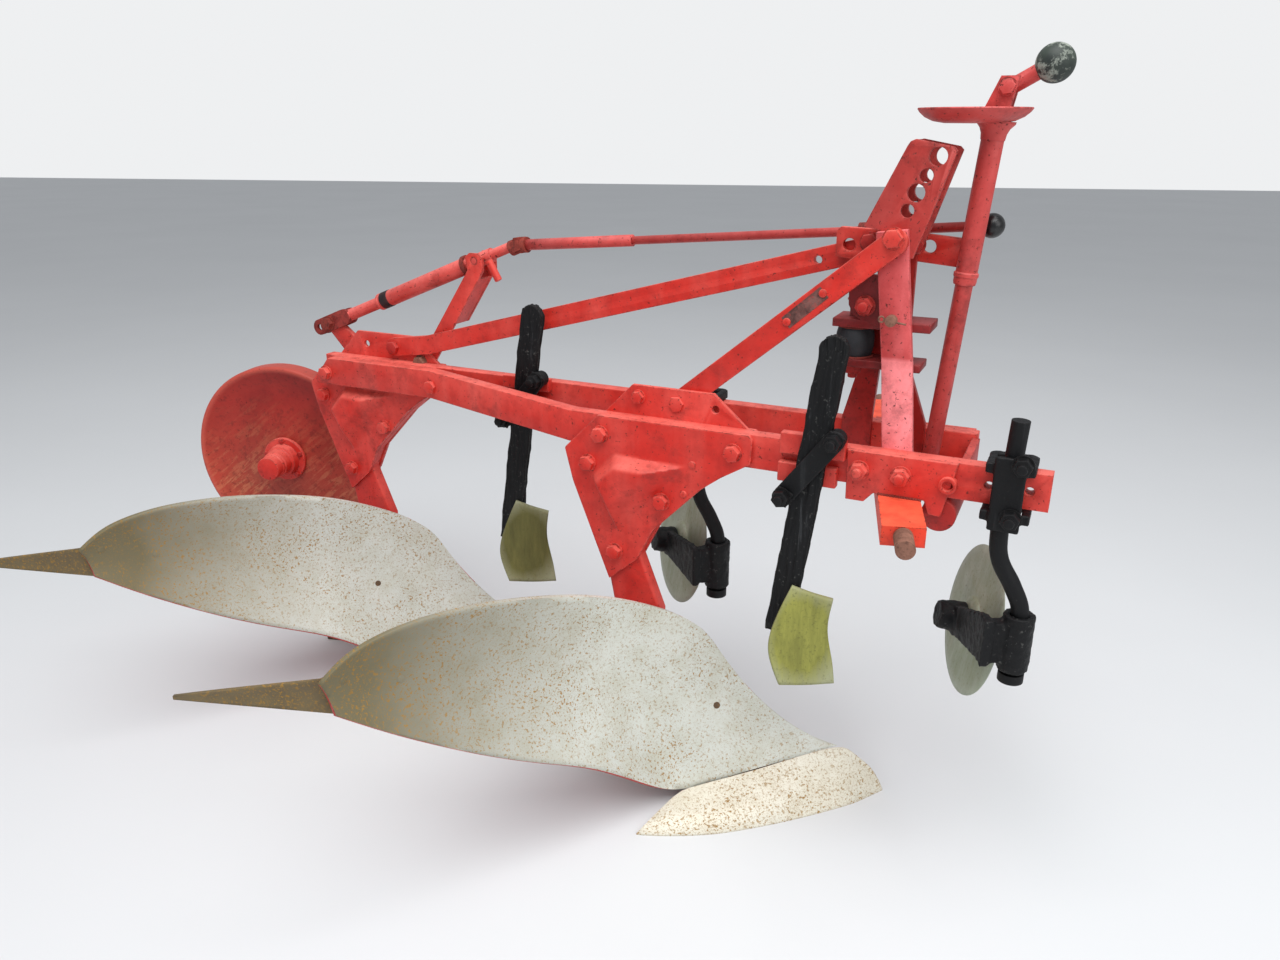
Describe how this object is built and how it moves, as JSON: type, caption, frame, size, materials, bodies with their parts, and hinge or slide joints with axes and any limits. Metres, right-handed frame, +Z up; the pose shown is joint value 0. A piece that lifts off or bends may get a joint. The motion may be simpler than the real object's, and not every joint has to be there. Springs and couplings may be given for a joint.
{
  "type": "two-furrow mounted moldboard plough",
  "caption": "Three-point mounted moldboard plough with two furrow bodies, skimmers, disc coulters, a depth wheel on a screw-set arm and a width crank.",
  "frame": {"origin": "centre of the footprint, on the plane that shares and landsides stand on", "axes": "+X the direction of travel, +Y the land side, +Z up"},
  "size_m": [1.9151, 1.078, 1.286],
  "materials": {
    "red_paint": "weathered orange-red paint",
    "faded_red": "sun-faded, pinkish red paint",
    "dark_red": "dirty red paint in shade",
    "black_paint": "matt black paint",
    "rusty_steel": "brown rust",
    "soil_steel": "soil-polished steel gone brown",
    "grey_steel": "worn grey steel",
    "board_steel": "weathered pale grey with rust specks",
    "mossy_steel": "dull steel with green growth",
    "rubber": "black rubber"
  },
  "bodies": {
    "frame": {"near_beam": "red_paint", "far_beam": "red_paint", "beam_brace": "dark_red", "cross_bracket": "red_paint", "cross_shaft": "red_paint", "pivot_tube": "dark_red", "mast_near_bar": "faded_red", "mast_far_frame": "dark_red", "mast_head": "faded_red", "mast_arm": "red_paint", "front_stay": "red_paint", "rear_stay": "red_paint", "buffer": "rubber", "buffer_bracket": "dark_red", "crank_tube": "faded_red", "crank_dish": "faded_red", "crank_handle": "faded_red", "turn_rod": "faded_red", "turn_joint": "rusty_steel", "rod_guide": "rusty_steel", "screw_post": "red_paint", "depth_bracket": "dark_red", "front_leg": "red_paint", "front_near_plate": "red_paint", "front_far_plate": "red_paint", "front_frog": "soil_steel", "front_share": "grey_steel", "front_moldboard": "board_steel", "front_landside": "soil_steel", "front_tailpiece": "soil_steel", "front_board_stay": "dark_red", "rear_leg": "red_paint", "rear_near_plate": "red_paint", "rear_far_plate": "red_paint", "rear_frog": "soil_steel", "rear_share": "grey_steel", "rear_moldboard": "board_steel", "rear_landside": "soil_steel", "rear_tailpiece": "soil_steel", "rear_board_stay": "dark_red", "front_skimmer": "black_paint", "front_skimmer_blade": "mossy_steel", "front_skimmer_clamp": "black_paint", "rear_skimmer": "black_paint", "rear_skimmer_blade": "mossy_steel", "rear_skimmer_clamp": "black_paint", "front_coulter_stem": "black_paint", "front_coulter_clamp": "black_paint", "rear_coulter_stem": "black_paint", "rear_coulter_clamp": "black_paint"},
    "depth_arm": {"depth_lever": "dark_red", "depth_arm": "dark_red"},
    "depth_wheel": {"depth_wheel": "red_paint", "depth_hub": "red_paint"},
    "screw_tube": {"screw_tube": "faded_red"},
    "screw_rod": {"screw_rod": "rusty_steel"},
    "front_coulter": {"front_coulter_arm": "black_paint"},
    "front_disc": {"front_coulter_disc": "mossy_steel"},
    "rear_coulter": {"rear_coulter_arm": "black_paint"},
    "rear_disc": {"rear_coulter_disc": "mossy_steel"}
  },
  "joints": [
    {"name": "depth_arm_hinge", "type": "hinge", "parent": "frame", "child": "depth_arm", "pos_m": [-0.34527, 0.38158, 0.688], "axis": [0.2538, 0.9673, 0], "range_deg": [-12, 13]},
    {"name": "depth_wheel_spin", "type": "hinge", "parent": "depth_arm", "child": "depth_wheel", "pos_m": [-0.639, 0.399, 0.425], "axis": [0, 1, 0], "continuous": true},
    {"name": "screw_tube_tilt", "type": "hinge", "parent": "frame", "child": "screw_tube", "pos_m": [-0.05963, 0.24875, 0.931], "axis": [0.2538, 0.9673, 0], "range_deg": [-1.55, 1.67]},
    {"name": "screw_rod_slide", "type": "slide", "parent": "screw_tube", "child": "screw_rod", "axis": [-0.8998, 0.2361, -0.367], "range_m": [-0.0257, 0.0238]},
    {"name": "front_coulter_swivel", "type": "hinge", "parent": "frame", "child": "front_coulter", "pos_m": [0.93188, -0.25153, 0.454], "axis": [0, 0, 1], "range_deg": [-15, 50]},
    {"name": "front_disc_spin", "type": "hinge", "parent": "front_coulter", "child": "front_disc", "pos_m": [0.89417, -0.10535, 0.41], "axis": [0.9781, 0.1375, -0.1564], "continuous": true},
    {"name": "rear_coulter_swivel", "type": "hinge", "parent": "frame", "child": "rear_coulter", "pos_m": [0.45083, 0.0389, 0.408], "axis": [0, 0, 1], "range_deg": [-35, 50]},
    {"name": "rear_disc_spin", "type": "hinge", "parent": "rear_coulter", "child": "rear_disc", "pos_m": [0.3654, 0.16336, 0.394], "axis": [0.8721, 0.4637, -0.1564], "continuous": true}
  ],
  "couplings": [
    {"joint": "screw_tube_tilt", "follows": "depth_arm_hinge", "ratio": 0.1248},
    {"joint": "screw_rod_slide", "follows": "depth_arm_hinge", "m_per_rad": -0.11251}
  ]
}
